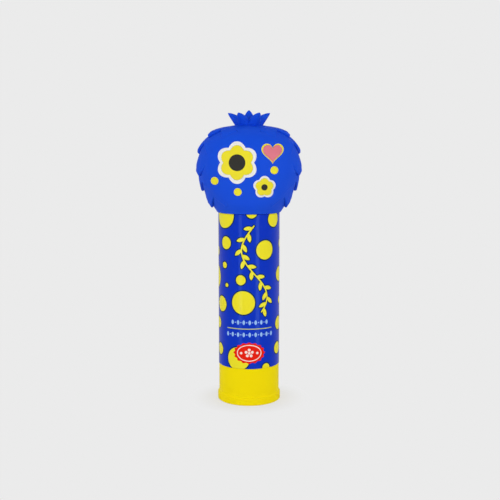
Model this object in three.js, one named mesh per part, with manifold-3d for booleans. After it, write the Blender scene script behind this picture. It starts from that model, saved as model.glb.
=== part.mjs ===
// A twist-up glue stick: a wrapped barrel, a turning knob with a lead screw that winds the glue
// up, and a cap inside a soft moulded topper. It stands along +Z with its foot at z = 0, and its
// front looks along -Y.
import * as THREE from 'three';
import Module from 'manifold-3d';
import { mergeVertices } from 'three/addons/utils/BufferGeometryUtils.js';

const wasm = await Module();
wasm.setup();

// Driving dimensions, in millimetres

// Fits and facets
const runningGap = 0.3; // between pieces that turn or slide on each other
const pressGap = 0.15; // between pieces that are pressed, snapped or cast together
const filmGap = 0.05; // between the barrel and its wrap
const turnedSides = 40; // facets round a turned piece

// Barrel
const bodyRadius = 11.7;
const bodyLength = 59.64;
const neckWall = 0.9;
const neckHeight = 9.7;
const snapBead = 0.2; // how far a snap bead stands proud
const beadHeight = 1.2;
const neckBeadDrop = 2.6; // from the mouth of the neck to its bead
const floorThickness = 1.6;
const ribHeight = 0.5; // of the two guide ribs in the bore
const ribWidth = 1.6;
const ribDrop = 1.8; // from the mouth of the neck to the top of the ribs

// Wrap
const wrapThickness = 0.25;
const wrapSeam = 0.4;

// Knob
const knobInset = 0.13; // of the knob from the outside of the wrap
const knobHeight = 14.56;
const knobWall = 0.9;
const rimBevel = 0.25;
const footStep = 0.53; // how far the foot stands out from the knob
const footHeight = 2.7;
const footShoulder = 0.9; // height over which the foot runs in to the knob
const footEdge = 0.35; // bottom edge rounding
const footRing = 1.8; // width of the ring that the stick stands on
const knobFloorRise = 2.4; // from the ground to the underside of the knob's floor
const knobFloorThickness = 1.6;
const hubRadius = 4.2;
const hubRise = 1.2; // from the ground to the hub's lower end
const hubHeight = 2.3; // above the knob's floor
const footRibs = 8;
const footRibWidth = 0.9;
const footRibSink = 0.6; // of a rib's edges in the walls that it joins

// Lead screw
const rootAcross = 4.2; // across the flats of the hexagonal root
const rootRecess = 0.4; // of the root's end inside the hub
const journalRadius = 3.1;
const flangeRadius = 4.6;
const flangeThickness = 1.2;
const coreRadius = 2;
const threadDepth = 1;
const threadLead = 6; // left-hand, one start
const threadGap = 0.4; // all round the thread, in the nut
const ridgeShare = 0.32; // of a turn that the crest of the thread takes
const flankShare = 0.12; // of a turn that each flank takes
const threadSides = 12; // points round one section of the thread
const threadSteps = 8; // sections for each turn
const screwTip = 1.2; // cone above the thread

// Glue carrier and glue
const carrierHeight = 9;
const carrierWall = 1;
const carrierFloor = 1.5;
const nutRadius = 4.6;
const nutHeight = 6;
const glueRecess = 2.2; // of the new glue below the mouth of the neck
const glueBevel = 0.6;

// Inner cap
const capWall = 0.75;
const capInset = 0.35; // of the cap from the outside of the barrel's body
const capRoof = 1;
const capBevel = 1;
const headspace = 14.5; // above the neck, inside the cap

// Topper
const topperRimWall = 1; // round the inner cap, at the bottom edge
const topperHalfWidth = 19.5; // without the tufts
const topperHalfDepth = 15.6;
const crownThickness = 8.55; // above the inner cap
const equatorRise = 16.5; // from the rim to the widest level
const rimTurn = -1.27; // radians from the widest level down to the rim, where the crown is at π/2
const tuckPower = 1.6; // how late the outline tucks in towards the rim: 1 is a cone
const profilePower = 2.5; // roundness of the upright outline: 2 is an ellipse
const planPower = 2.35; // roundness of the plan outline
const tuftLift = 1.5;
const tuftRows = 5;
const tuftsRound = 10;
const tuftColumns = 6; // facets across one tuft
const tuftRings = 3; // facets down one tuft
const tuftPoint = 0.62; // how far the tips hang, as a part of a row's height
const tuftStart = 0.09; // of the way from the crown to the rim
const tuftEnd = 0.87;
const smoothHalfWidth = 16.2; // of the plain oval on the front
const smoothHalfHeight = 14;
const fadeShares = [0.92, 1.2]; // of the oval, from the last of the plain to the first full tufts
const smoothBulge = 0.8; // of the plain oval towards the front
const crestLocks = 6; // round the centre one
const crestSpread = 3.4; // from the axis to the foot of each outer lock
const crestLean = 0.55; // radians
const crestSink = 3.4; // depth of each lock's foot inside the topper
const lockLength = 6.2; // above the crown, along the lock
const centreLockLength = 5.5;
const lockRadius = 2.5; // half the width of a lock
const lockFlatness = 0.75; // thickness of a lock as a part of its width
const lockTaper = 0.75; // how late a lock runs to a point: 0.5 is an ellipse
const lockCurl = 0.5; // how far the tip curls on, as a part of what the lean gives it
const lockRings = 6;
const lockSides = 12;

// Coloured pours in the front of the topper
const pourDepth = 1;
const pourProud = 0.2;
const pourGap = 0.12; // round every pour
const motifGap = 1.5; // between neighbouring motifs
const roundSides = 14;
const heartSides = 24;
const flowerRadius = 7.9;
const flowerPetals = 6;
const dipShare = 0.2; // of the radius, between two petals
const petalSides = 5; // facets round one petal
const flowerRimWidth = 1.45;
const flowerCentreRadius = 3.2;
const flowerX = -4.4;
const flowerRise = 2.9; // above the widest level
const blossomRadius = 4.3;
const blossomPetals = 5;
const blossomRimWidth = 0.85;
const blossomCentreRadius = 1.3;
const blossomBearing = -0.73; // radians from the flower's centre
const heartRadius = 4.2;
const heartRimWidth = 0.6;
const heartBearing = 0.24;
const dotRadius = 1.5;
const dotBearings = { dot_left: -2.46, dot_low: -1.55 }; // from the flower
const dotRightBearing = 1.05; // from the blossom

// Radii that follow from the body's, from the outside in
const capRadius = bodyRadius - capInset;
const capBore = capRadius - capWall;
const neckRadius = capBore - runningGap - snapBead;
const boreRadius = neckRadius - neckWall;
const carrierRadius = boreRadius - runningGap;
const threadRadius = coreRadius + threadDepth;
const knobRadius = bodyRadius + filmGap + wrapThickness - knobInset;
const footRadius = knobRadius + footStep;
const knobBore = knobRadius - knobWall;
const spigotRadius = knobBore - runningGap;
const topperBore = capRadius + pressGap;
const topperRim = topperBore + topperRimWall;

// Levels that follow from the driving dimensions, from the ground up
const knobFloorTop = knobFloorRise + knobFloorThickness;
const hubTop = knobFloorTop + hubHeight;
const spigotBottom = knobFloorTop + runningGap;
const barrelFloor = hubTop + runningGap;
const barrelFloorTop = barrelFloor + floorThickness;
const bodyBottom = knobHeight + runningGap;
const bodyTop = bodyBottom + bodyLength;
const neckTop = bodyTop + neckHeight;
const knobBead = (spigotBottom + bodyBottom) / 2; // height of the bead that holds the knob
const flangeBottom = barrelFloorTop + runningGap;
const flangeTop = flangeBottom + flangeThickness;
const carrierBottom = flangeTop + runningGap;
const carrierTop = carrierBottom + carrierHeight;
const windTurns = Math.floor((bodyTop - carrierTop) / threadLead); // up to the neck's shoulder
const threadTop = carrierBottom + nutHeight + windTurns * threadLead;
const glueTop = neckTop - glueRecess;
const capEdge = bodyTop + runningGap;
const capCeiling = neckTop + headspace;
const capTop = capCeiling + capRoof;
const topperBoreTop = capTop + pressGap;
const topperTop = topperBoreTop + crownThickness;
const equator = capEdge + equatorRise;

// Solids: every closed three.js geometry becomes a manifold, with its faces turned outwards

function toManifold(geometry) {
  const bare = geometry.clone();
  bare.deleteAttribute('normal');
  bare.deleteAttribute('uv');
  const merged = mergeVertices(bare, 1e-4);
  const vertProperties = Float32Array.from(merged.attributes.position.array);
  const corners = Array.from(merged.index.array);
  const faces = [];
  let volume = 0;
  for (let i = 0; i < corners.length; i += 3) {
    const [a, b, c] = corners.slice(i, i + 3);
    if (a === b || b === c || c === a) continue;
    faces.push([a, b, c]);
    const points = [a, b, c].map((k) => new THREE.Vector3().fromArray(vertProperties, 3 * k));
    volume += points[0].dot(points[1].cross(points[2]));
  }
  const outward = volume > 0 ? faces : faces.map(([a, b, c]) => [a, c, b]);
  const triVerts = Uint32Array.from(outward.flat());
  return new wasm.Manifold(new wasm.Mesh({ numProp: 3, vertProperties, triVerts }));
}

function toGeometry(manifold) {
  const mesh = manifold.getMesh();
  const geometry = new THREE.BufferGeometry();
  geometry.setAttribute('position', new THREE.BufferAttribute(mesh.vertProperties, 3));
  geometry.setIndex(new THREE.BufferAttribute(mesh.triVerts, 1));
  geometry.computeVertexNormals();
  return geometry;
}

// A turned solid: outline holds [radius, height] pairs, from the axis round to the axis
function turned(outline, sides = turnedSides) {
  const points = outline.map(([radius, height]) => new THREE.Vector2(radius, height));
  return toManifold(new THREE.LatheGeometry(points, sides).rotateX(Math.PI / 2));
}

// A turned ring, whose outline closes on itself away from the axis
function turnedRing(outline) {
  return turned([...outline, outline[0]]);
}

// A block given by its lowest and highest corners, then turned round the axis
function block(low, high, turn = 0) {
  const size = high.map((value, axis) => value - low[axis]);
  const middle = high.map((value, axis) => (value + low[axis]) / 2);
  return toManifold(new THREE.BoxGeometry(...size).translate(...middle).rotateZ(turn));
}

// The outline of a bead or groove of the given step on a wall, from bottom to top
function beadOutline(radius, step, middle, height) {
  return [
    [radius, middle - height / 2],
    [radius + step, middle - height / 4],
    [radius + step, middle + height / 4],
    [radius, middle + height / 2],
  ];
}

// Barrel: one moulded tube with a spigot for the knob, a floor for the screw, and a capped neck
function barrel() {
  const shell = turnedRing([
    [journalRadius + runningGap, barrelFloor],
    [boreRadius, barrelFloor],
    [boreRadius, spigotBottom],
    [spigotRadius, spigotBottom],
    ...beadOutline(spigotRadius, snapBead, knobBead, beadHeight),
    [spigotRadius, bodyBottom],
    [bodyRadius, bodyBottom],
    [bodyRadius, bodyTop],
    [neckRadius, bodyTop],
    ...beadOutline(neckRadius, snapBead, neckTop - neckBeadDrop, beadHeight),
    [neckRadius, neckTop - rimBevel],
    [neckRadius - rimBevel, neckTop],
    [boreRadius, neckTop],
    [boreRadius, barrelFloorTop],
    [journalRadius + runningGap, barrelFloorTop],
  ]);
  return guideRibs(0, barrelFloor, neckTop - ribDrop).reduce((tube, rib) => tube.add(rib), shell);
}

// The two ribs along the bore, grown by a gap when they cut the notches that run on them
function guideRibs(gap, bottom, top) {
  const inner = boreRadius - ribHeight - gap;
  const outer = boreRadius + neckWall / 2;
  const half = ribWidth / 2 + gap;
  return [
    block([inner, -half, bottom], [outer, half, top]),
    block([-outer, -half, bottom], [-inner, half, top]),
  ];
}

// Wrap: a printed film round the barrel's body, with its seam at the back
function wrap() {
  const inner = bodyRadius + filmGap;
  const outer = inner + wrapThickness;
  const sleeve = turnedRing([
    [inner, bodyBottom],
    [outer, bodyBottom],
    [outer, bodyTop],
    [inner, bodyTop],
  ]);
  const seam = block([-wrapSeam / 2, 0, bodyBottom - 1], [wrapSeam / 2, 2 * outer, bodyTop + 1]);
  return sleeve.subtract(seam);
}

// Knob: a cup that turns on the barrel's spigot, with a foot flange, a ribbed hollow under its
// floor, and a hub whose hexagonal socket drives the screw
function knob() {
  const ringInner = footRadius - footRing;
  const arcSteps = 3;
  const lowerEdge = [];
  const shoulder = [];
  for (let i = 0; i <= arcSteps; i += 1) {
    const turn = (i / arcSteps) * (Math.PI / 2);
    lowerEdge.push([
      footRadius - footEdge + footEdge * Math.sin(turn),
      footEdge - footEdge * Math.cos(turn),
    ]);
    shoulder.push([
      knobRadius + (footRadius - knobRadius) * Math.cos(turn),
      footHeight + footShoulder * Math.sin(turn),
    ]);
  }
  const cup = turned([
    [0, hubRise],
    [hubRadius, hubRise],
    [hubRadius, knobFloorRise],
    [ringInner, knobFloorRise],
    [ringInner, 0],
    ...lowerEdge,
    ...shoulder,
    [knobRadius, knobHeight - rimBevel],
    [knobRadius - rimBevel, knobHeight],
    [knobBore, knobHeight],
    ...beadOutline(knobBore, snapBead, knobBead, beadHeight + 2 * runningGap).reverse(),
    [knobBore, knobFloorTop],
    [hubRadius, knobFloorTop],
    [hubRadius, hubTop],
    [0, hubTop],
  ]);
  const ribLow = [hubRadius - footRibSink, -footRibWidth / 2, hubRise];
  const ribHigh = [ringInner + footRibSink, footRibWidth / 2, knobFloorRise + footRibSink];
  let ribbed = cup;
  for (let i = 0; i < footRibs; i += 1) {
    ribbed = ribbed.add(block(ribLow, ribHigh, ((i + 0.5) / footRibs) * 2 * Math.PI));
  }
  return ribbed.subtract(hexagon(rootAcross + 2 * pressGap, 0, 2 * hubTop));
}

// An upright hexagonal prism, given by its width across the flats
function hexagon(across, bottom, top) {
  const radius = across / Math.sqrt(3);
  const prism = new THREE.CylinderGeometry(radius, radius, top - bottom, 6);
  return toManifold(prism.rotateX(Math.PI / 2).translate(0, 0, (bottom + top) / 2));
}

// The thread as a twisted bar: one section, with a ridge over part of its round, turns
// left-handed by one turn for each lead. A gap grows the section to cut the nut.
function threadedBar(bottom, top, gap) {
  const steps = Math.ceil(((top - bottom) / threadLead) * threadSteps);
  const bar = new THREE.CylinderGeometry(1, 1, top - bottom, threadSides, steps);
  bar.rotateX(Math.PI / 2).translate(0, 0, (bottom + top) / 2);
  const position = bar.attributes.position;
  const ridgeHalf = ridgeShare / 2 + gap / threadLead;
  for (let i = 0; i < position.count; i += 1) {
    const onAxis = Math.hypot(position.getX(i), position.getY(i)) < 0.5;
    if (onAxis) continue;
    const bearing = Math.atan2(position.getY(i), position.getX(i));
    const fromRidge = Math.abs(bearing) / (2 * Math.PI);
    const rise = THREE.MathUtils.clamp((ridgeHalf + flankShare - fromRidge) / flankShare, 0, 1);
    const radius = coreRadius + gap + threadDepth * rise;
    const twist = bearing - (2 * Math.PI * position.getZ(i)) / threadLead;
    position.setXY(i, radius * Math.cos(twist), radius * Math.sin(twist));
  }
  return toManifold(bar);
}

// Lead screw: hexagonal root, journal, thrust flange, thread and a cone tip
function leadScrew() {
  const turnedPart = turned([
    [0, hubTop - pressGap],
    [journalRadius, hubTop - pressGap + rimBevel],
    [journalRadius, flangeBottom],
    [flangeRadius, flangeBottom],
    [flangeRadius, flangeTop],
    [0, flangeTop],
  ], threadSides * 2);
  const tip = turned([
    [0, threadTop - threadLead / threadSteps],
    [coreRadius, threadTop - threadLead / threadSteps],
    [coreRadius, threadTop],
    [coreRadius / 2, threadTop + screwTip],
    [0, threadTop + screwTip],
  ], threadSides);
  return hexagon(rootAcross, hubRise + rootRecess, hubTop + runningGap + rimBevel)
    .add(turnedPart)
    .add(threadedBar(flangeTop - pressGap, threadTop, 0))
    .add(tip);
}

// Carrier: a cup with a threaded nut in its floor and two notches that run on the ribs
function carrier() {
  const cup = turned([
    [0, carrierBottom],
    [carrierRadius, carrierBottom],
    [carrierRadius, carrierTop],
    [carrierRadius - carrierWall, carrierTop],
    [carrierRadius - carrierWall, carrierBottom + carrierFloor],
    [nutRadius, carrierBottom + carrierFloor],
    [nutRadius, carrierBottom + nutHeight],
    [0, carrierBottom + nutHeight],
  ]);
  const cutEnd = threadLead / threadSteps;
  const threadCut = threadedBar(flangeTop - pressGap, carrierBottom + nutHeight + cutEnd, threadGap);
  return guideRibs(runningGap, carrierBottom - 1, carrierTop + 1)
    .reduce((body, notch) => body.subtract(notch), cup.subtract(threadCut));
}

// Glue: cast in the carrier and round the screw, with the grooves that the ribs leave in it
function glue() {
  const bottom = carrierBottom + carrierFloor + pressGap;
  const footLevel = carrierTop + pressGap;
  const footOuter = carrierRadius - carrierWall - pressGap;
  const screwHole = threadRadius + threadGap;
  const nutHole = nutRadius + pressGap;
  const nutTop = carrierBottom + nutHeight + pressGap;
  const holeTop = threadTop + screwTip + runningGap;
  const stick = turned([
    [0, holeTop],
    [screwHole, holeTop],
    [screwHole, nutTop],
    [nutHole, nutTop],
    [nutHole, bottom],
    [footOuter, bottom],
    [footOuter, footLevel],
    [carrierRadius, footLevel],
    [carrierRadius, glueTop - glueBevel],
    [carrierRadius - glueBevel, glueTop],
    [0, glueTop],
  ]);
  return guideRibs(runningGap, bottom - 1, glueTop + 1)
    .reduce((body, groove) => body.subtract(groove), stick);
}

// Inner cap: a thin cup that slides over the neck and its bead and seals the glue
function innerCap() {
  return turned([
    [0, capCeiling],
    [capBore - rimBevel, capCeiling],
    [capBore, capCeiling - rimBevel],
    [capBore, capEdge + rimBevel],
    [capBore + rimBevel, capEdge],
    [capRadius, capEdge],
    [capRadius, capTop - capBevel],
    [capRadius - capBevel, capTop],
    [0, capTop],
  ]);
}

// The topper's outside without tufts, by the share of the way down from its crown to its rim
// and the angle round the axis: a rounded dome above its widest level, which is oval in plan, and
// a skirt below it that tucks in to a circular rim.
// The lift stands off along the surface's normal, and fades out over the plain oval, which bulges
// towards the front instead.
function topperPoint(down, angle, lift) {
  const bend = 2 / profilePower;
  const topHeight = topperTop - equator;
  const turn = Math.PI / 2 + down * (rimTurn - Math.PI / 2);
  const above = turn >= 0;
  const fall = turn / rimTurn;
  const dome = Math.pow(Math.max(0, Math.cos(turn)), bend);
  const grown = above ? dome : 1 - Math.pow(fall, tuckPower);
  const rim = above ? 0 : topperRim;
  const halfWidth = rim + (topperHalfWidth - rim) * grown;
  const halfDepth = rim + (topperHalfDepth - rim) * grown;
  const rise = Math.pow(Math.max(0, Math.sin(turn)), bend);
  const z = above ? equator + topHeight * rise : equator - equatorRise * fall;
  const power = 2 / (2 + (planPower - 2) * (above ? 1 : grown));
  const cosine = Math.cos(angle);
  const sine = Math.sin(angle);
  const x = halfWidth * Math.sign(cosine) * Math.pow(Math.abs(cosine), power);
  const y = halfDepth * Math.sign(sine) * Math.pow(Math.abs(sine), power);
  const normal = new THREE.Vector3(
    x / topperHalfWidth ** 2,
    y / topperHalfDepth ** 2,
    (z - equator) / topHeight ** 2,
  ).normalize();
  const across = Math.pow(Math.abs(x) / smoothHalfWidth, profilePower);
  const up = Math.pow(Math.abs(z - equator) / smoothHalfHeight, profilePower);
  const oval = Math.pow(across + up, 1 / profilePower);
  const tufted = y > 0 ? 1 : THREE.MathUtils.smoothstep(oval, ...fadeShares);
  const bulged = new THREE.Vector3(x, y - smoothBulge * (1 - tufted), z);
  return bulged.addScaledVector(normal, lift * tufted);
}

// The hem of a row of tufts: 1 at the tips and 0 between them, half a tuft on from row to row
function hemWave(row, column) {
  const phase = column / tuftColumns + row / 2;
  return 1 - Math.abs(2 * (phase - Math.floor(phase)) - 1);
}

// The topper's outside, moved along Y by the shift: each row of tufts swells from nothing down
// to its pointed hem, and the next row starts from under that hem
function topperShell(shift) {
  const columns = tuftsRound * tuftColumns;
  const rings = [];
  for (let row = 0; row < tuftRows; row += 1) {
    for (let i = 0; i <= tuftRings; i += 1) {
      rings.push({ row, swell: i / tuftRings });
    }
  }
  const levels = rings.length + 3;
  const plain = Array.from({ length: levels }, (_, i) => new THREE.Vector2(i === 0 ? 0 : 1, -i));
  plain.push(new THREE.Vector2(0, -levels));
  const shell = new THREE.LatheGeometry(plain, columns).rotateX(Math.PI / 2);
  const position = shell.attributes.position;
  const rowHeight = (tuftEnd - tuftStart) / tuftRows;
  for (let i = 0; i < position.count; i += 1) {
    const level = i % plain.length;
    const column = Math.floor(i / plain.length) % columns;
    const angle = (column / columns) * 2 * Math.PI;
    const ring = rings[level - 2];
    let place = new THREE.Vector3(0, 0, capEdge);
    if (level === 0) place = topperPoint(0, 0, 0);
    else if (level === 1) place = topperPoint(tuftStart / 2, angle, 0);
    else if (level === levels - 1) place = topperPoint(1, angle, 0);
    else if (ring) {
      const before = ring.row === 0 ? 0.5 : hemWave(ring.row - 1, column);
      const hang = before + (hemWave(ring.row, column) - before) * ring.swell;
      const down = tuftStart + rowHeight * (ring.row + ring.swell + tuftPoint * (hang - 0.5));
      const lift = tuftLift * ring.swell * (0.5 + 0.5 * hemWave(ring.row, column));
      place = topperPoint(down, angle, lift);
    }
    position.setXYZ(i, place.x, place.y, place.z);
  }
  return toManifold(shell.translate(0, shift, 0));
}

// One lock of the crest: a flattened spindle that runs to a point. It leans out from the axis and
// curls on towards its tip.
function lock(length, spread, lean, bearing) {
  const outline = [new THREE.Vector2(0, -crestSink), new THREE.Vector2(lockRadius, -crestSink)];
  for (let i = 0; i <= lockRings; i += 1) {
    const share = i / lockRings;
    const radius = lockRadius * Math.pow(1 - share * share, lockTaper);
    outline.push(new THREE.Vector2(radius, share * length));
  }
  const spindle = new THREE.LatheGeometry(outline, lockSides).rotateX(Math.PI / 2);
  const position = spindle.attributes.position;
  for (let i = 0; i < position.count; i += 1) {
    const share = Math.max(0, position.getZ(i)) / length;
    position.setX(i, lockFlatness * position.getX(i) + lockCurl * lean * length * share * share);
  }
  return toManifold(spindle.rotateY(lean).translate(spread, 0, topperTop).rotateZ(bearing));
}

// Topper: soft moulded shell with the bore for the inner cap, a crest, and pockets for the pours
function topper(pockets) {
  let body = topperShell(0).add(lock(centreLockLength, 0, 0, Math.PI / 2));
  for (let i = 0; i < crestLocks; i += 1) {
    const bearing = (i / crestLocks) * 2 * Math.PI;
    body = body.add(lock(lockLength, crestSpread, crestLean, bearing));
  }
  const bore = turned([
    [0, capEdge - 1],
    [topperBore, capEdge - 1],
    [topperBore, topperBoreTop - capBevel],
    [topperBore - capBevel, topperBoreTop],
    [0, topperBoreTop],
  ]);
  return pockets.reduce((shell, pocket) => shell.subtract(pocket), body.subtract(bore));
}

// Outlines of the motifs, as closed rings of [x, height] points about their own centres

function ringOf(count, place) {
  return Array.from({ length: count }, (_, i) => place((i / count) * 2 * Math.PI));
}

// Rounded petals, with one at the top and a sharp dip between each two
function petalOutline(radius, petals) {
  return ringOf(petals * petalSides, (turn) => {
    const reach = radius * (1 - dipShare + dipShare * Math.abs(Math.sin((petals * turn) / 2)));
    const bearing = turn + Math.PI / 2 + Math.PI / petals;
    return [reach * Math.cos(bearing), reach * Math.sin(bearing)];
  });
}

function roundOutline(radius) {
  return ringOf(roundSides, (turn) => [radius * Math.cos(turn), radius * Math.sin(turn)]);
}

// A heart as wide as twice its radius: the usual curve of sines and cosines
function heartOutline(radius) {
  return ringOf(heartSides, (turn) => {
    const across = Math.pow(Math.sin(turn), 3);
    const lobes = 13 * Math.cos(turn) - 5 * Math.cos(2 * turn);
    const up = lobes - 2 * Math.cos(3 * turn) - Math.cos(4 * turn);
    return [radius * across, (radius * (up + 2.5)) / 16];
  });
}

// An outline driven through the front of the topper, as a cutter
function frontBar(points, [x, height]) {
  const shape = new THREE.Shape(points.map(([across, up]) => new THREE.Vector2(across, up)));
  const bar = new THREE.ExtrudeGeometry(shape, { depth: topperHalfDepth, bevelEnabled: false });
  bar.rotateX(Math.PI / 2).translate(x, -topperHalfDepth / 3, height);
  return toManifold(bar);
}

function bearingFrom([x, height], distance, bearing) {
  return [x + distance * Math.cos(bearing), height + distance * Math.sin(bearing)];
}

// The motifs: each lists its pours from the outside in, as [node, colour, outline by growth]
const flowerEdge = flowerRadius - flowerRimWidth;
const blossomEdge = blossomRadius - blossomRimWidth;
const heartEdge = heartRadius - heartRimWidth;
const flowerPlace = [flowerX, equator + flowerRise];
const blossomPlace = bearingFrom(flowerPlace, flowerRadius + motifGap + blossomRadius, blossomBearing);
const heartPlace = bearingFrom(flowerPlace, flowerRadius + motifGap + heartRadius, heartBearing);
const dotPlaces = {
  dot_left: bearingFrom(flowerPlace, flowerRadius + motifGap + dotRadius, dotBearings.dot_left),
  dot_low: bearingFrom(flowerPlace, flowerRadius + motifGap + dotRadius, dotBearings.dot_low),
  dot_right: bearingFrom(blossomPlace, blossomRadius + motifGap + dotRadius, dotRightBearing),
};
const motifs = [
  {
    place: flowerPlace,
    pours: [
      ['flower_rim', 'white', (grow) => petalOutline(flowerRadius + grow, flowerPetals)],
      ['flower_petals', 'yellow', (grow) => petalOutline(flowerEdge + grow, flowerPetals)],
      ['flower_centre', 'dark', (grow) => roundOutline(flowerCentreRadius + grow)],
    ],
  },
  {
    place: blossomPlace,
    pours: [
      ['blossom_rim', 'white', (grow) => petalOutline(blossomRadius + grow, blossomPetals)],
      ['blossom_petals', 'yellow', (grow) => petalOutline(blossomEdge + grow, blossomPetals)],
      ['blossom_centre', 'dark', (grow) => roundOutline(blossomCentreRadius + grow)],
    ],
  },
  {
    place: heartPlace,
    pours: [
      ['heart_rim', 'yellow', (grow) => heartOutline(heartRadius + grow)],
      ['heart_fill', 'pink', (grow) => heartOutline(heartEdge + grow)],
    ],
  },
  ...Object.entries(dotPlaces).map(([name, place]) => ({
    place,
    pours: [[name, 'yellow', (grow) => roundOutline(dotRadius + grow)]],
  })),
];

// Each pour fills its outline, less the next pour inwards, from the pocket's floor to a little
// proud of the topper's own surface
function pouredMotifs() {
  const proud = topperShell(-pourProud);
  const pourFloor = topperShell(pourDepth);
  const pocketFloor = topperShell(pourDepth + pressGap);
  const pours = [];
  const pockets = [];
  for (const { place, pours: layers } of motifs) {
    pockets.push(frontBar(layers[0][2](pourGap), place).subtract(pocketFloor));
    layers.forEach(([name, colour, outline], index) => {
      let fill = frontBar(outline(0), place).intersect(proud).subtract(pourFloor);
      const next = layers[index + 1];
      if (next) fill = fill.subtract(frontBar(next[2](pourGap), place));
      pours.push({ name, colour, fill });
    });
  }
  return { pours, pockets };
}

// Materials and the assembled group

const finishes = {
  yellowMoulding: { color: 0xecd60c, roughness: 0.35, metalness: 0 },
  whiteMoulding: { color: 0xf1f1ec, roughness: 0.4, metalness: 0 },
  film: { color: 0x1440b4, roughness: 0.2, metalness: 0 },
  adhesive: { color: 0xf4f1e4, roughness: 0.55, metalness: 0 },
  blue: { color: 0x1c50d6, roughness: 0.6, metalness: 0 },
  white: { color: 0xebe8e6, roughness: 0.6, metalness: 0 },
  yellow: { color: 0xeedf30, roughness: 0.6, metalness: 0 },
  dark: { color: 0x383733, roughness: 0.6, metalness: 0 },
  pink: { color: 0xe0808c, roughness: 0.6, metalness: 0 },
};

function piece(name, solid, finish) {
  const mesh = new THREE.Mesh(toGeometry(solid), new THREE.MeshStandardMaterial(finishes[finish]));
  mesh.name = name;
  return mesh;
}

const { pours, pockets } = pouredMotifs();

const body = new THREE.Group();
body.add(piece('barrel', barrel(), 'yellowMoulding'), piece('wrap_label', wrap(), 'film'));

const drive = new THREE.Group();
drive.add(piece('turning_knob', knob(), 'yellowMoulding'));
drive.add(piece('lead_screw', leadScrew(), 'whiteMoulding'));

const lift = new THREE.Group();
lift.add(piece('glue_carrier', carrier(), 'whiteMoulding'), piece('glue_block', glue(), 'adhesive'));

const cap = new THREE.Group();
cap.add(piece('inner_cap', innerCap(), 'whiteMoulding'), piece('topper', topper(pockets), 'blue'));
pours.forEach(({ name, colour, fill }) => cap.add(piece(name, fill, colour)));

const glueStick = new THREE.Group();
glueStick.name = 'glue_stick';
glueStick.add(body, drive, lift, cap);

export default glueStick;
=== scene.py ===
import math

import bmesh
import bpy
import numpy as np
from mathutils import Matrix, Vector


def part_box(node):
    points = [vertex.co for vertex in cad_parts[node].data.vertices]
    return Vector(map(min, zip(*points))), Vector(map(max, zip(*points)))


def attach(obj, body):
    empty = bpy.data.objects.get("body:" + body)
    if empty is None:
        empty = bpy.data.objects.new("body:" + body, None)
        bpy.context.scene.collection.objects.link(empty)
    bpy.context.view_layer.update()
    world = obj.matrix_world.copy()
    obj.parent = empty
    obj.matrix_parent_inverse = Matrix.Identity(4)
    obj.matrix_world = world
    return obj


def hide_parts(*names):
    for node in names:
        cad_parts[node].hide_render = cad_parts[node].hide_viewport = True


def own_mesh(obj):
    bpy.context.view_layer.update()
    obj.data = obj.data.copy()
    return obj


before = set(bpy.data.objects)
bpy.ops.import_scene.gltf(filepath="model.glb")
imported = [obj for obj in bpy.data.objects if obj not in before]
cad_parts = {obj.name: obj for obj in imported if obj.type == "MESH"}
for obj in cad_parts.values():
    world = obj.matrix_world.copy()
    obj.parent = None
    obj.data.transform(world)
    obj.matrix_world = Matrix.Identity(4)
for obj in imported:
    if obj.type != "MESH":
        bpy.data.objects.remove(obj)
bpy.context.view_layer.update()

# Barrel
# One tube moulded in yellow polypropylene: a spigot below for the knob, a floor that carries the
# screw, a body that the wrap hides, and a bare neck with a snap bead under the cap. Two ribs run
# up the bore to keep the glue carrier from turning.

mm = 0.001
round_columns = 240
merge_distance = 1e-7


def add_object(name, data):
    """A new object in the scene, at the origin, for a mesh, a lamp or a camera."""
    made = bpy.data.objects.new(name, data)
    bpy.context.scene.collection.objects.link(made)
    return made


def lay_grid(name, points, rows_close=False):
    """A mesh on a grid of points, rows by columns by 3, in millimetres. The columns close into a
    ring, and the rows too when rows_close is true. Each cell is one quad. Points that fall
    together, such as a ring on the axis, are merged, and the faces are turned outwards."""
    rows, columns = points.shape[:2]
    index = np.arange(rows * columns).reshape(rows, columns)
    right = np.roll(index, -1, axis=1)
    above = np.roll(index, -1, axis=0)
    above_right = np.roll(right, -1, axis=0)
    quads = np.stack([index, right, above_right, above], axis=-1)
    if not rows_close:
        quads = quads[:-1]
    mesh = bpy.data.meshes.new(name)
    mesh.from_pydata(points.reshape(-1, 3) * mm, [], quads.reshape(-1, 4).tolist())
    shell = bmesh.new()
    shell.from_mesh(mesh)
    bmesh.ops.remove_doubles(shell, verts=shell.verts, dist=merge_distance)
    bmesh.ops.recalc_face_normals(shell, faces=shell.faces)
    shell.to_mesh(mesh)
    shell.free()
    mesh.shade_smooth()
    return add_object(name, mesh)


def soften(outline, radius, steps=6, most=0.3, closed=True):
    """An outline of [radius, height] corners with each corner rounded: a parabola takes the
    corner's place, from one side to the other, and leaves each at the given distance, or at most
    at a share of the shorter side. One more point on each side keeps the flats flat where they
    are shaded."""
    corner = np.array(outline, float)
    back = corner - np.roll(corner, 1, axis=0)
    ahead = np.roll(corner, -1, axis=0) - corner
    back_length = np.linalg.norm(back, axis=1, keepdims=True)
    ahead_length = np.linalg.norm(ahead, axis=1, keepdims=True)
    cut = np.minimum(radius, most * np.minimum(back_length, ahead_length))
    start = corner - back / back_length * cut
    end = corner + ahead / ahead_length * cut
    t = np.linspace(0, 1, steps)[None, :, None]
    curve = (1 - t) ** 2 * start[:, None] + 2 * t * (1 - t) * corner[:, None] + t**2 * end[:, None]
    before = (start - back / back_length * cut / 2)[:, None]
    after = (end + ahead / ahead_length * cut / 2)[:, None]
    rounded = np.concatenate([before, curve, after], axis=1)
    if not closed:
        rounded[0] = corner[0]
        rounded[-1] = corner[-1]
    return rounded.reshape(-1, 2)


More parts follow.
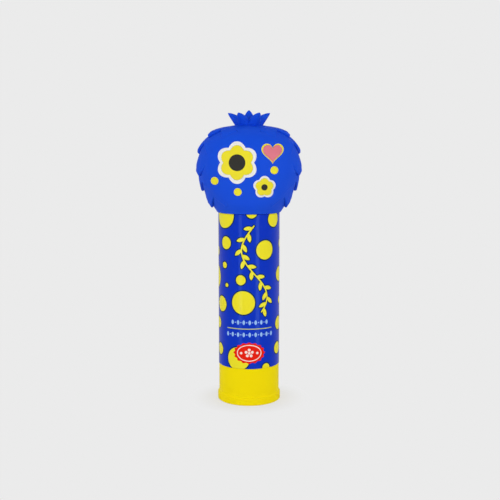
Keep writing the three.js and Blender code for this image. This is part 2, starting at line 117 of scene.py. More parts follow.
def bead(radius, step, middle, height):
    """Four corners of a bead, or of a groove, that stands the given step off a wall."""
    return [
        [radius, middle - height / 2],
        [radius + step, middle - height / 4],
        [radius + step, middle + height / 4],
        [radius, middle + height / 2],
    ]


def once_round(count):
    """Angles that divide a whole turn evenly."""
    return np.arange(count) / count * 2 * np.pi


def spin(outline, columns=round_columns):
    """Points of a turned surface: each [radius, height] of the outline goes once round the axis."""
    angle = once_round(columns)
    radius, height = outline[:, :1], outline[:, 1:]
    return np.stack([radius * np.cos(angle), radius * np.sin(angle), height + 0 * angle], axis=-1)


def press_in(points, radii, depth, half_width, low, high, steepness=0.2):
    """Draws a stretch of a turned surface in by a depth along two upright bands, at +X and at -X.
    It acts on points whose radius lies between the two radii and whose height lies between low
    and high, and each side of a band rises over a small share of its half width."""
    radius = np.hypot(points[..., 0], points[..., 1])
    across = np.abs(points[..., 1])
    band = np.clip((half_width - across) / (steepness * half_width) + 0.5, 0, 1)
    inside = (radius > radii[0]) & (radius < radii[1])
    inside &= (points[..., 2] > low) & (points[..., 2] < high)
    scale = 1 - inside * band * depth / np.maximum(radius, 1e-9)
    moved = points.copy()
    moved[..., :2] *= scale[..., None]
    return moved


def set_inputs(tree, node, inputs):
    """Fills the inputs of a shader node. Each is given a socket to link, or a value."""
    for key, value in dict(inputs).items():
        if isinstance(value, bpy.types.NodeSocket):
            tree.links.new(value, node.inputs[key])
        else:
            node.inputs[key].default_value = value
    return node


def add_node(tree, kind, inputs=(), **settings):
    """A new shader node with its settings and inputs."""
    made = tree.nodes.new(kind)
    for key, value in settings.items():
        setattr(made, key, value)
    return set_inputs(tree, made, inputs)


def reckoned(tree, operation, *values):
    """The result of one operation on its values, such as a product."""
    return add_node(tree, "ShaderNodeMath", enumerate(values), operation=operation).outputs[0]


def object_place(tree):
    """A point's place on its own object, in metres."""
    return add_node(tree, "ShaderNodeTexCoord").outputs["Object"]


def noise(tree, place, scale, detail):
    """Cloudy noise from 0 to 1, with about as many clouds to a metre as its scale says."""
    inputs = {"Vector": place, "Scale": scale, "Detail": detail}
    return add_node(tree, "ShaderNodeTexNoise", inputs).outputs["Fac"]


def blended(tree, share, first, second):
    """A colour between two others, by a share."""
    inputs = {0: share, 6: first, 7: second}
    return add_node(tree, "ShaderNodeMix", inputs, data_type="RGBA").outputs[2]


def bumped(tree, depth, height):
    """The surface's normal, bent by a height from 0 to 1 that stands for a depth in metres."""
    inputs = {"Strength": 1.0, "Distance": depth, "Height": height}
    return add_node(tree, "ShaderNodeBump", inputs).outputs["Normal"]


def moulded_skin_group():
    """Skin of a moulded plastic: fine grain of the tool's surface as bumps, a slow drift of tint,
    and a drift of roughness. Grain and Depth are given in millimetres."""
    number, colour, vector = "NodeSocketFloat", "NodeSocketColor", "NodeSocketVector"
    inputs = {
        "Colour": (colour, (0.8, 0.8, 0.8, 1)),
        "Shade": (colour, (0.7, 0.7, 0.7, 1)),
        "Roughness": (number, 0.4),
        "Roughness Drift": (number, 0.06),
        "Grain": (number, 0.3),
        "Depth": (number, 0.004),
    }
    outputs = {"Colour": colour, "Roughness": number, "Normal": vector}
    group = bpy.data.node_groups.new("moulded_skin", "ShaderNodeTree")
    for label, (kind, value) in inputs.items():
        socket = group.interface.new_socket(label, in_out="INPUT", socket_type=kind)
        socket.default_value = value
    for label, kind in outputs.items():
        group.interface.new_socket(label, in_out="OUTPUT", socket_type=kind)
    given = group.nodes.new("NodeGroupInput").outputs
    place = object_place(group)
    per_metre = reckoned(group, "DIVIDE", 1 / mm, given["Grain"])
    grain = noise(group, place, scale=per_metre, detail=2.0)
    drift = noise(group, place, scale=90.0, detail=3.0)
    swing = reckoned(group, "SUBTRACT", drift, 0.5)
    rough = reckoned(group, "MULTIPLY_ADD", swing, given["Roughness Drift"], given["Roughness"])
    depth = reckoned(group, "MULTIPLY", given["Depth"], mm)
    result = {
        "Colour": blended(group, drift, given["Colour"], given["Shade"]),
        "Roughness": rough,
        "Normal": bumped(group, depth, grain),
    }
    add_node(group, "NodeGroupOutput", result)
    return group


moulded_skin = moulded_skin_group()


def linear(red, green, blue):
    """Screen colour, 0 to 255 a channel, as the linear colour that a shader takes."""
    screen = np.array([red, green, blue]) / 255
    light = np.where(screen <= 0.04045, screen / 12.92, ((screen + 0.055) / 1.055) ** 2.4)
    return (*light.tolist(), 1)


def new_material(name):
    """A material with its node tree and its Principled shader."""
    material = bpy.data.materials.new(name)
    material.use_nodes = True
    return material, material.node_tree, material.node_tree.nodes["Principled BSDF"]


def moulded_material(name, colour, shade, roughness, grain, depth, scatter, shine):
    """A moulded plastic or soft PVC: the moulded skin over one Principled shader. scatter is the
    share of light that wanders inside it, and shine is the strength of its clear reflections."""
    material, tree, shader = new_material(name)
    given = {"Colour": colour, "Shade": shade, "Roughness": roughness}
    given.update({"Grain": grain, "Depth": depth})
    skin = add_node(tree, "ShaderNodeGroup", given, node_tree=moulded_skin).outputs
    surface = {
        "Base Color": skin["Colour"],
        "Roughness": skin["Roughness"],
        "Normal": skin["Normal"],
        "Subsurface Weight": scatter,
        "Subsurface Radius": (1.0, 0.8, 0.5),
        "Subsurface Scale": 0.6 * mm,
        "Specular IOR Level": shine,
    }
    set_inputs(tree, shader, surface)
    return material


def dress(piece, material):
    """Gives a piece one material and no other."""
    piece.data.materials.clear()
    piece.data.materials.append(material)


def corners(node_name):
    """The lowest and the highest corner of a CAD piece, in millimetres."""
    return np.array(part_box(node_name)) / mm


yellow_moulding = moulded_material(
    "yellow_moulding",
    colour=linear(247, 226, 8),
    shade=linear(241, 217, 6),
    roughness=0.34,
    grain=0.35,
    depth=0.003,
    scatter=0.15,
    shine=0.04,
)

barrel_low, barrel_high = corners("barrel")
knob_high = corners("turning_knob")[1]
cap_low, cap_high = corners("inner_cap")
running_gap = 0.3
moulded_edge = 0.22
body_radius = barrel_high[0]
cap_wall = 0.75
neck_wall = 0.9
snap_bead = 0.2
bead_height = 1.2
neck_radius = cap_high[0] - cap_wall - running_gap - snap_bead
bore_radius = neck_radius - neck_wall
body_bottom = knob_high[2] + running_gap
body_top = cap_low[2] - running_gap
neck_top = barrel_high[2]
neck_bead_drop = 2.6
spigot_bottom = barrel_low[2]
knob_radius = 11.87
knob_wall = 0.9
spigot_radius = knob_radius - knob_wall - running_gap
knob_bead = (spigot_bottom + body_bottom) / 2
floor_hole = 3.4
floor_rise = 2.3
floor_thickness = 1.6
barrel_floor = spigot_bottom + floor_rise
barrel_floor_top = barrel_floor + floor_thickness
rib_height = 0.5
rib_half_width = 0.8
rib_foot_rise = 0.2
rib_top_drop = 1.8
rib_end_margin = 0.1
bore_margin = 0.05

barrel_outline = [
    [floor_hole, barrel_floor],
    [bore_radius, barrel_floor],
    [bore_radius, spigot_bottom],
    [spigot_radius, spigot_bottom],
    *bead(spigot_radius, snap_bead, knob_bead, bead_height),
    [spigot_radius, body_bottom],
    [body_radius, body_bottom],
    [body_radius, body_top],
    [neck_radius, body_top],
    *bead(neck_radius, snap_bead, neck_top - neck_bead_drop, bead_height),
    [neck_radius, neck_top],
    [bore_radius, neck_top],
    [bore_radius, neck_top - rib_top_drop],
    [bore_radius, barrel_floor_top + rib_foot_rise],
    [bore_radius, barrel_floor_top],
    [floor_hole, barrel_floor_top],
]
barrel_points = press_in(
    spin(soften(barrel_outline, moulded_edge)),
    radii=(bore_radius - bore_margin, bore_radius + bore_margin),
    depth=rib_height,
    half_width=rib_half_width,
    low=barrel_floor_top + rib_foot_rise - rib_end_margin,
    high=neck_top - rib_top_drop + rib_end_margin,
)
barrel_tube = lay_grid("barrel_tube", barrel_points, rows_close=True)
dress(barrel_tube, yellow_moulding)
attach(barrel_tube, "barrel")
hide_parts("barrel")

# Wrap
# A glossy printed film goes once round the barrel's body and laps over itself at the back. The
# print is plain blue with yellow dots of many sizes, a leafy vine that swings down the front, two
# rows of pale marks about a thin rule, and a red rosette over the base.

wrap_radius = corners("wrap_label")[1][0]
half_round = math.pi * wrap_radius
film_thickness = 0.25
film_foot_gap = 0.08
film_overrun = 0.1
film_bottom = knob_high[2] + film_foot_gap
film_top = body_top + film_overrun
lap_step = 0.07
lap_run = 0.35
front_columns = 262
back_columns = 140
front_reach = 0.56
marks_low = 26.5
marks_high = 34.5
lower_rows = 60
mark_rows = 56
upper_rows = 114
sprig_length = 1.9

# Dots on the front of the film, each by its distance along the wrap from the middle of the
# front, its height, and its radius
front_dots = [
    (-10.9, 73.9, 5.0),
    (1.0, 75.2, 2.2),
    (10.9, 72.5, 3.15),
    (-9.9, 63.4, 2.6),
    (6.5, 60.9, 3.8),
    (-17.2, 59.6, 1.9),
    (17.4, 62.6, 1.8),
    (-10.7, 54.7, 1.35),
    (-3.2, 49.4, 2.05),
    (-9.5, 47.0, 0.9),
    (-18.7, 49.6, 4.8),
    (15.7, 50.7, 3.0),
    (-2.25, 40.6, 4.7),
    (-12.8, 39.3, 3.15),
    (16.5, 40.3, 1.5),
    (-16.0, 31.4, 2.3),
    (15.0, 31.3, 2.75),
    (-14.4, 21.1, 2.4),
    (13.9, 21.5, 2.45),
    (-4.3, 18.5, 4.7),
    (7.0, 14.8, 1.8),
]


def scatter_dots(front, tries=900):
    """More dots for the sides and the back: places are drawn one after another, and each that
    keeps a clear gap to all the dots so far is taken, large ones first. The gap asked for shrinks
    with them. Their middles lie on the film, so that the lap cuts no dot to a sliver."""
    side_start, end_overrun = 19.5, 2
    least_radius, radius_range, radius_power = 0.9, 4.6, 1.6
    least_gap, gap_range = 1.1, 1.2
    draw = np.random.default_rng(7)
    dots = list(front)
    for turn in range(tries):
        to_go = 1 - turn / tries
        radius = radius_range * to_go**radius_power + least_radius
        along = draw.uniform(side_start, half_round) * draw.choice([-1, 1])
        height = draw.uniform(body_bottom - end_overrun, body_top + end_overrun)
        gaps = [math.hypot(along - a, height - h) - radius - r for a, h, r in dots]
        if min(gaps) > least_gap + gap_range * to_go:
            dots.append((along, height, radius))
    return dots


def far_from_rounds(along, height, rounds):
    """Distance from each point to the nearest disc's edge, less than nothing inside a disc."""
    nearest = np.full(along.shape, 1e3)
    for centre, level, radius in rounds:
        nearest = np.minimum(nearest, np.hypot(along - centre, height - level) - radius)
    return nearest


def far_from_strokes(along, height, strokes, half_width):
    """Distance from each point to the nearest round-ended stroke, less than nothing inside it. A
    stroke is given by the two ends of its middle line."""
    nearest = np.full(along.shape, 1e3)
    for x0, z0, x1, z1 in strokes:
        run = np.hypot(x1 - x0, z1 - z0) ** 2 + 1e-9
        share = np.clip(((along - x0) * (x1 - x0) + (height - z0) * (z1 - z0)) / run, 0, 1)
        reach = np.hypot(along - x0 - share * (x1 - x0), height - z0 - share * (z1 - z0))
        nearest = np.minimum(nearest, reach - half_width)
    return nearest


def from_oval(along, height, centre, radii, share, wave=0.0, count=0):
    """Distance from each point to an oval, less than nothing inside it. The oval is the given
    share of one with the given radii, and its edge rises and falls count times round it."""
    x, z = (along - centre[0]) / radii[0], (height - centre[1]) / radii[1]
    reach = np.hypot(x, z) + 1e-9
    steepness = np.hypot(x / radii[0], z / radii[1]) / reach + 1e-9
    return (reach - share - wave * np.cos(count * np.arctan2(x, z))) / steepness


def far_from_leaves(along, height, leaves, length, width):
    """Distance from each point to the edge of the nearest leaf, less than nothing inside it. A
    leaf is where two equal discs overlap, and is given by its stalk's end and its direction."""
    disc_radius = (length**2 + width**2) / (4 * width)
    nearest = np.full(along.shape, 1e3)
    for x0, z0, turn in leaves:
        out = (along - x0) * math.cos(turn) + (height - z0) * math.sin(turn) - length / 2
        side = (height - z0) * math.cos(turn) - (along - x0) * math.sin(turn)
        reach = np.hypot(out, np.abs(side) + disc_radius - width / 2) - disc_radius
        nearest = np.minimum(nearest, reach)
    return nearest


def garland():
    """A vine down the front: its line swings in two opposite half waves, the lower one wider, from
    the top of the print to the rows of marks, and leaves stand off it to each side in turn,
    pointing down."""
    top, bottom, middle = 70.2, 37.0, 1.9
    first_swing, last_swing, half_waves = 4.42, 5.72, 1.82
    leaf_count, leaf_turn, strokes_per_leaf = 16, 0.78, 3
    share = np.linspace(0, 1, strokes_per_leaf * leaf_count + 1)
    height = top + (bottom - top) * share
    swing = first_swing + (last_swing - first_swing) * share
    along = middle - swing * np.sin(share * half_waves * np.pi)
    line = list(zip(along[:-1], height[:-1], along[1:], height[1:]))
    course = np.arctan2(np.gradient(height), np.gradient(along))
    side = np.where(np.arange(leaf_count) % 2, 1, -1)
    stalks = slice(1, -1, strokes_per_leaf)
    leaves = list(zip(along[stalks], height[stalks], course[stalks] + side * leaf_turn))
    return line, leaves


def mark_row(level, half_length, count, middle=0.3, dot_size=0.24):
    """A row of pale marks: small upright leaves with a dot between each two."""
    along = np.linspace(-half_length, half_length, count) + middle
    sprigs = [(x, level - sprig_length / 2, math.pi / 2) for x in along[::2]]
    dots = [(x, level, dot_size) for x in along[1::2]]
    return sprigs, dots


# The film goes round from the back, with its columns closer together over the front and its rows
# over the marks. Its radius starts a step low and comes up by an exponential, so that its far end
# stands over its near end
turn_of_column = math.pi * np.concatenate(
    [
        np.linspace(-1, -front_reach, back_columns // 2, endpoint=False),
        np.linspace(-front_reach, front_reach, front_columns, endpoint=False),
        np.linspace(front_reach, 1, back_columns // 2),
    ]
)
row_heights = np.concatenate(
    [
        np.linspace(film_bottom, marks_low, lower_rows, endpoint=False),
        np.linspace(marks_low, marks_high, mark_rows, endpoint=False),
        np.linspace(marks_high, film_top, upper_rows),
    ]
)
outer_radius = wrap_radius - lap_step * np.exp(-(turn_of_column + math.pi) / lap_run)
inner_radius = np.full(len(turn_of_column), wrap_radius - film_thickness)
film_radii = np.stack([outer_radius] * len(row_heights) + [inner_radius, inner_radius])
film_heights = np.concatenate([row_heights, [film_top, film_bottom]])[:, None]
film_x = film_radii * np.sin(turn_of_column)
film_y = -film_radii * np.cos(turn_of_column)
film_points = np.stack([film_x, film_y, film_heights + 0 * turn_of_column], axis=-1)
wrap_film = lay_grid("wrap_film", film_points, rows_close=True)

# Every print colour has its own distance to its edge, held on the mesh, and the film's material
# inks what lies inside
film_places = np.empty(len(wrap_film.data.vertices) * 3)
wrap_film.data.vertices.foreach_get("co", film_places)
film_places = film_places.reshape(-1, 3) / mm
along_wrap = np.arctan2(film_places[:, 0], -film_places[:, 1]) * wrap_radius
here = (along_wrap, film_places[:, 2])
vine, leaves = garland()
upper_sprigs, upper_dots = mark_row(level=32.9, half_length=6.9, count=13)
lower_sprigs, lower_dots = mark_row(level=28.1, half_length=9.2, count=17)
sprigs = upper_sprigs + lower_sprigs
rule_strokes = [(-9.1, 30.4, 9.6, 30.4)]
rosette_centre = (0.1, 20.9)
rosette_radii = (6.1, 4.05)
petal_count = 5
petal_reach = 1.25
petal_size = 0.56
rosette_dot_reach = 3.15
rosette_dot_size = 0.5
rosette_rounds = [
    (
        rosette_centre[0] + petal_reach * math.sin(turn),
        rosette_centre[1] + petal_reach * math.cos(turn),
        petal_size,
    )
    for turn in once_round(petal_count)
]
rosette_rounds += [
    (rosette_centre[0] + side * rosette_dot_reach, rosette_centre[1], rosette_dot_size)
    for side in (-1, 0, 1)
]
rosette_ring = from_oval(*here, rosette_centre, rosette_radii, share=0.77)
ring_half_width = 0.17
prints = {
    "print_dots": far_from_rounds(*here, scatter_dots(front_dots)),
    "print_garland": np.minimum(
        far_from_strokes(*here, vine, half_width=0.25),
        far_from_leaves(*here, leaves, length=3.5, width=1.5),
    ),
    "print_rule": far_from_strokes(*here, rule_strokes, half_width=0.16),
    "print_marks": np.minimum(
        far_from_leaves(*here, sprigs, length=sprig_length, width=1.05),
        far_from_rounds(*here, upper_dots + lower_dots),
    ),
    "print_rosette": from_oval(
        *here, rosette_centre, rosette_radii, share=1, wave=0.05, count=16
    ),
    "print_petals": np.minimum(
        far_from_rounds(*here, rosette_rounds), np.abs(rosette_ring) - ring_half_width
    ),
}
for label, distance in prints.items():
    layer = wrap_film.data.attributes.new(label, "FLOAT", "POINT")
    layer.data.foreach_set("value", distance)


def ranged(tree, value, ends, results, **settings):
    """A value carried over from one range to another, and held at the range's ends."""
    labels = ("Value", "From Min", "From Max", "To Min", "To Max")
    inputs = zip(labels, (value, *ends, *results))
    return add_node(tree, "ShaderNodeMapRange", inputs, **settings).outputs[0]


def inked(tree, colour, label, ink, spread, edge=0.05):
    """The colour under a print with one more ink over it: full inside the print's edge, none
    outside, and soft over the given width in millimetres. The ink reaches past the print's edge
    by its spread."""
    distance = add_node(tree, "ShaderNodeAttribute", attribute_name=label).outputs["Fac"]
    cover = ranged(tree, distance, (spread - edge, spread + edge), (1.0, 0.0))
    return blended(tree, cover, colour, ink)


def wrap_material():
    """The printed film: its inks one over another, from the blue ground up, under a clear gloss
    with faint ripples where the film has shrunk on. Each ink has its print, its colour and its
    spread. Where the yellow overlaps the blue's edge, a dark hairline shows."""
    material, tree, shader = new_material("wrap_print")
    place = object_place(tree)
    mottle = noise(tree, place, scale=400.0, detail=4.0)
    colour = blended(tree, mottle, linear(12, 50, 187), linear(16, 56, 195))
    overprint = linear(3, 46, 78)
    inks = [
        ("print_dots", overprint, 0.32),
        ("print_dots", linear(238, 226, 44), -0.14),
        ("print_garland", overprint, 0.36),
        ("print_garland", linear(240, 230, 60), 0.0),
        ("print_rule", linear(196, 200, 70), 0.0),
        ("print_marks", linear(150, 190, 240), 0.0),
        ("print_rosette", linear(233, 32, 14), 0.0),
        ("print_petals", linear(250, 226, 218), 0.0),
    ]
    for label, ink, spread in inks:
        colour = inked(tree, colour, label, ink, spread)
    ripple = noise(tree, place, scale=160.0, detail=1.0)
    surface = {
        "Base Color": colour,
        "Roughness": ranged(tree, mottle, (0.0, 1.0), (0.09, 0.14)),
        "Normal": bumped(tree, 0.012 * mm, ripple),
        "Specular IOR Level": 0.32,
    }
    set_inputs(tree, shader, surface)
    return material


dress(wrap_film, wrap_material())
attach(wrap_film, "barrel")
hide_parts("wrap_label")

# Lead screw
# Moulded in white polypropylene, with a coarse left-hand thread. Its hexagonal root is pressed
# into the knob's hub from above, and its thrust flange rests on the barrel's floor.

white_moulding = moulded_material(
    "white_moulding",
    colour=linear(243, 243, 239),
    shade=linear(236, 236, 231),
    roughness=0.38,
    grain=0.4,
    depth=0.003,
    scatter=0.2,
    shine=0.3,
)
dress(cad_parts["lead_screw"], white_moulding)

# Knob
# The yellow base of the stick: a cup moulded in polypropylene, with a foot flange below, ribs
# under its floor, and a hub whose hexagonal socket grips the screw. It snaps over the barrel's
# spigot from below and turns there.

knob_height = knob_high[2]
knob_bore = knob_radius - knob_wall
knob_edge = 0.14
foot_radius = knob_high[0]
foot_height = 2.7
foot_shoulder = 0.9
foot_edge = 0.35
foot_ring = 1.8
foot_bore = foot_radius - foot_ring
knob_floor_rise = 2.4
knob_floor_top = 4.0
hub_radius = 4.2
hub_rise = 1.2
hub_top = 6.3
socket_across = 4.5
foot_ribs = 8
foot_rib_sink = 0.3
foot_rib_rise = 0.2
arc_steps = 8
quarter = np.linspace(0, math.pi / 2, arc_steps)
edge_radius = foot_radius - foot_edge + foot_edge * np.sin(quarter)
edge_level = foot_edge - foot_edge * np.cos(quarter)
shoulder_radius = knob_radius + (foot_radius - knob_radius) * (1 + np.cos(2 * quarter)) / 2
shoulder_level = foot_height + foot_shoulder * quarter / (math.pi / 2)
knob_outline = [
    [socket_across / 2, hub_top],
    [socket_across / 2, hub_rise],
    [hub_radius, hub_rise],
    [hub_radius, knob_floor_rise],
    [foot_bore, knob_floor_rise],
    [foot_bore, 0],
    *zip(edge_radius, edge_level),
    *zip(shoulder_radius, shoulder_level),
    [knob_radius, knob_height],
    [knob_bore, knob_height],
    *bead(knob_bore, snap_bead, knob_bead, bead_height + 2 * running_gap)[::-1],
    [knob_bore, knob_floor_top],
    [hub_radius, knob_floor_top],
    [hub_radius, hub_top],
]


def hexagon_bore(points, across, margin=0.08):
    """Turns the round bore of a turned surface into a hexagonal one, with a flat towards +X: the
    radius grows from half the width across the flats to each corner."""
    radius = np.hypot(points[..., 0], points[..., 1])
    turn = np.arctan2(points[..., 1], points[..., 0])
    from_flat = np.mod(turn + math.pi / 6, math.pi / 3) - math.pi / 6
    in_bore = radius < across / 2 + margin
    scale = np.where(in_bore, 1 / np.cos(from_flat), 1)
    shaped = points.copy()
    shaped[..., :2] *= scale[..., None]
    return shaped


knob_points = hexagon_bore(spin(soften(knob_outline, knob_edge)), socket_across)
knob_cup = lay_grid("knob_cup", knob_points, rows_close=True)
dress(knob_cup, yellow_moulding)
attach(knob_cup, "knob")
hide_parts("turning_knob")


def swung(out, across, up, bearing):
    """Points by how far out they lie along a bearing, how far across it, and how high."""
    x = out * math.cos(bearing) - across * math.sin(bearing)
    y = out * math.sin(bearing) + across * math.cos(bearing)
    return np.stack([x, y, up], axis=-1)


def rib_bar(name, bearing, near, far, half_width, low, high, edge=0.12):
    """A straight rib under the knob's floor: a rounded oblong section carried outwards along a
    bearing, from the hub to the foot ring. Each end is drawn in to the section's middle."""
    section = soften(
        [[-half_width, low], [half_width, low], [half_width, high], [-half_width, high]], edge
    )
    reach = np.array([near, near, far, far])[:, None]
    share = np.array([0, 1, 1, 0])[:, None]
    middle = section.mean(axis=0)
    across = middle[0] + share * (section[:, 0] - middle[0])
    level = middle[1] + share * (section[:, 1] - middle[1])
    return lay_grid(name, swung(reach + 0 * across, across, level, bearing))


for number in range(foot_ribs):
    foot_rib = rib_bar(
        f"knob_rib_{number + 1}",
        bearing=(number + 0.5) / foot_ribs * 2 * math.pi,
        near=hub_radius - foot_rib_sink,
        far=foot_bore + foot_rib_sink,
        half_width=0.45,
        low=hub_rise,
        high=knob_floor_rise + foot_rib_rise,
    )
    dress(foot_rib, yellow_moulding)
    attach(foot_rib, "knob")

# Glue carrier
# A white cup with a threaded nut in its floor. The screw lifts it, and two notches in its side
# run on the barrel's ribs.

dress(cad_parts["glue_carrier"], white_moulding)

# Glue
# The solid adhesive: a waxy off-white stick, cast in the carrier and round the screw, with a new
# end that is faintly dished and two grooves that the ribs leave in its sides. It is used up as it
# is wound out, so it shortens towards the carrier as the knob turns.

glue_low, glue_high = corners("glue_block")
carrier_low, carrier_high = corners("glue_carrier")
press_gap = 0.15
carrier_wall = 1.0
glue_radius = bore_radius - running_gap
glue_foot_radius = glue_radius - carrier_wall - press_gap
screw_hole = 3.4
screw_hole_top = corners("lead_screw")[1][2] + running_gap
nut_hole = 4.75
nut_height = 6.15
nut_top = carrier_low[2] + nut_height
glue_shoulder = carrier_high[2] + press_gap
glue_edge = 0.45
end_edge_width = 0.6
end_edge_drop = 0.5
dish_share = 0.45
dish_drop = 0.05
dish_depth = 0.15
groove_reach = 0.75
groove_margin = 0.1
groove_overrun = 1.0
glue_outline = [
    [0, screw_hole_top],
    [screw_hole, screw_hole_top],
    [screw_hole, nut_top],
    [nut_hole, nut_top],
    [nut_hole, glue_low[2]],
    [glue_foot_radius, glue_low[2]],
    [glue_foot_radius, glue_shoulder],
    [glue_radius, glue_shoulder],
    [glue_radius, glue_high[2] - end_edge_drop],
    [glue_radius - end_edge_width, glue_high[2]],
    [glue_radius * dish_share, glue_high[2] - dish_drop],
    [0, glue_high[2] - dish_depth],
]
glue_points = press_in(
    spin(soften(glue_outline, glue_edge, closed=False)),
    radii=(glue_radius - groove_reach, glue_radius + groove_margin),
    depth=rib_height,
    half_width=rib_half_width + running_gap,
    low=glue_low[2] - groove_overrun,
    high=glue_high[2] + groove_overrun,
)
glue_stick = lay_grid("glue_stick", glue_points)


def glue_material():
    """Waxy adhesive: off-white with faint cloudy streaks along the stick, dull, and soft where
    light enters it."""
    material, tree, shader = new_material("adhesive")
    place = object_place(tree)
    drawn = add_node(tree, "ShaderNodeMapping", {"Vector": place, "Scale": (1, 1, 0.2)})
    cloud = noise(tree, drawn.outputs[0], scale=420.0, detail=5.0)
    surface = {
        "Base Color": blended(tree, cloud, linear(246, 243, 230), linear(233, 229, 212)),
        "Roughness": ranged(tree, cloud, (0.0, 1.0), (0.42, 0.62)),
        "Normal": bumped(tree, 0.05 * mm, cloud),
        "Subsurface Weight": 0.35,
        "Subsurface Radius": (1.0, 0.9, 0.7),
        "Subsurface Scale": 1.2 * mm,
    }
    set_inputs(tree, shader, surface)
    return material


dress(glue_stick, glue_material())
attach(glue_stick, "carrier")
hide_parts("glue_block")
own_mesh(glue_stick)

# Inner cap
# A thin white cup moulded in hard polypropylene. It slides over the neck's bead and seals the
# glue, and the soft topper is pulled over it.

cap_radius = cap_high[0]
cap_bore = cap_radius - cap_wall
cap_roof = 1.0
cap_corner = 1.0
cap_outline = [
    [0, cap_high[2] - cap_roof],
    [cap_bore, cap_high[2] - cap_roof],
    [cap_bore, cap_low[2]],
    [cap_radius, cap_low[2]],
    [cap_radius, cap_high[2] - cap_corner],
    [cap_radius - cap_corner, cap_high[2]],
    [0, cap_high[2]],
]
cap_liner = lay_grid("cap_liner", spin(soften(cap_outline, moulded_edge, closed=False)))
dress(cap_liner, white_moulding)
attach(cap_liner, "cap")
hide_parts("inner_cap")

# Topper
# A pom-pom of soft blue PVC, moulded in one with the bore for the inner cap. Rows of pointed
# tufts cover its sides and back and stand under one another's hems, the front is a plain oval
# for the coloured pours, and a crest of locks stands on its crown.

pom_rim = 12.5
pom_half_width = 19.5
pom_half_depth = 15.6
equator_rise = 16.5
profile_power = 2.5
plan_power = 2.35
tuft_lift = 1.33
tuft_rows = 5
tufts_round = 10
tuft_point = 0.62
tuft_start = 0.09
tuft_end = 0.87
crown_ring = 0.01
hem_run = 0.01
hem_roll = 0.008
swell_power = 1.25
valley_share = 0.45
smooth_half_width = 16.2
smooth_half_height = 14.0
fade_shares = (0.92, 1.2)
smooth_bulge = 0.8
strand_depth = 0.11
strand_middle = 0.64
strands_per_tuft = 5
crest_locks = 6
crest_spread = 3.4
crest_lean = 0.55
crest_sink = 3.4
lock_length = 6.2
centre_lock_length = 5.5
lock_radius = 2.5
lock_flatness = 0.75
lock_taper = 0.75
lock_curl = 0.5
lock_root = 0.04
lock_flutes = 6
flute_depth = 0.05
cap_edge = cap_low[2]
crown = corners("topper")[1][2] - centre_lock_length
equator = cap_edge + equator_rise
crown_rise = crown - equator
bend = 2 / profile_power
rim_turn = -1.27
tuck_power = 1.6


def smooth_rise(value, low, high):
    """0 below low, 1 above high, and an S-curve of cubes between them."""
    share = np.clip((value - low) / (high - low), 0, 1)
    return share * share * (3 - 2 * share)


def tufted_share(x, y, z):
    """0 on the plain oval of the front, 1 outside it and behind, and a soft rise between. The
    oval is a superellipse like the pom-pom's own outline."""
    across = np.abs(x / smooth_half_width) ** profile_power
    up = np.abs((z - equator) / smooth_half_height) ** profile_power
    return np.where(y > 0, 1, smooth_rise((across + up) ** (1 / profile_power), *fade_shares))


def pom_plan(above, grown):
    """The plan at a level, by whether it lies above the widest one and by how far the outline has
    grown out from the rim: its half width, its half depth, and its superellipse's power."""
    rim = np.where(above, 0, pom_rim)
    half_width = rim + (pom_half_width - rim) * grown
    half_depth = rim + (pom_half_depth - rim) * grown
    return half_width, half_depth, 2 + (plan_power - 2) * np.where(above, 1, grown)


def pom_point(down, angle, lift):
    """A point of the pom-pom, by its share of the way down from crown to rim and its angle round
    the axis. The upright outline is a superellipse above the widest level, and below it the
    radius falls to the rim's by a power of the share of the way. The plan is a superellipse that
    turns round towards the rim. The lift stands off along the surface's normal, but not on the
    plain front, which bulges forward instead."""
    turn = np.pi / 2 + down * (rim_turn - np.pi / 2)
    above = turn >= 0
    fall = np.maximum(turn / rim_turn, 0)
    grown = np.where(above, np.maximum(np.cos(turn), 0) ** bend, 1 - fall**tuck_power)
    half_width, half_depth, power = pom_plan(above, grown)
    rise = np.maximum(np.sin(turn), 0) ** bend
    z = np.where(above, equator + crown_rise * rise, equator - equator_rise * fall)
    x = half_width * np.sign(np.cos(angle)) * np.abs(np.cos(angle)) ** (2 / power)
    y = half_depth * np.sign(np.sin(angle)) * np.abs(np.sin(angle)) ** (2 / power)
    normal = np.stack(
        [x / pom_half_width**2, y / pom_half_depth**2, (z - equator) / crown_rise**2 + 0 * x],
        axis=-1,
    )
    normal /= np.linalg.norm(normal, axis=-1, keepdims=True)
    tufted = tufted_share(x, y, z)
    bulged = np.stack([x, y - smooth_bulge * (1 - tufted), z + 0 * x], axis=-1)
    return bulged + normal * (lift * tufted**2)[..., None]


def hem_wave(row, angle):
    """1 at the tips of a row of tufts and 0 between them, half a tuft on from row to row."""
    phase = angle / (2 * np.pi) * tufts_round + row / 2
    return 1 - np.abs(2 * (phase - np.floor(phase)) - 1)


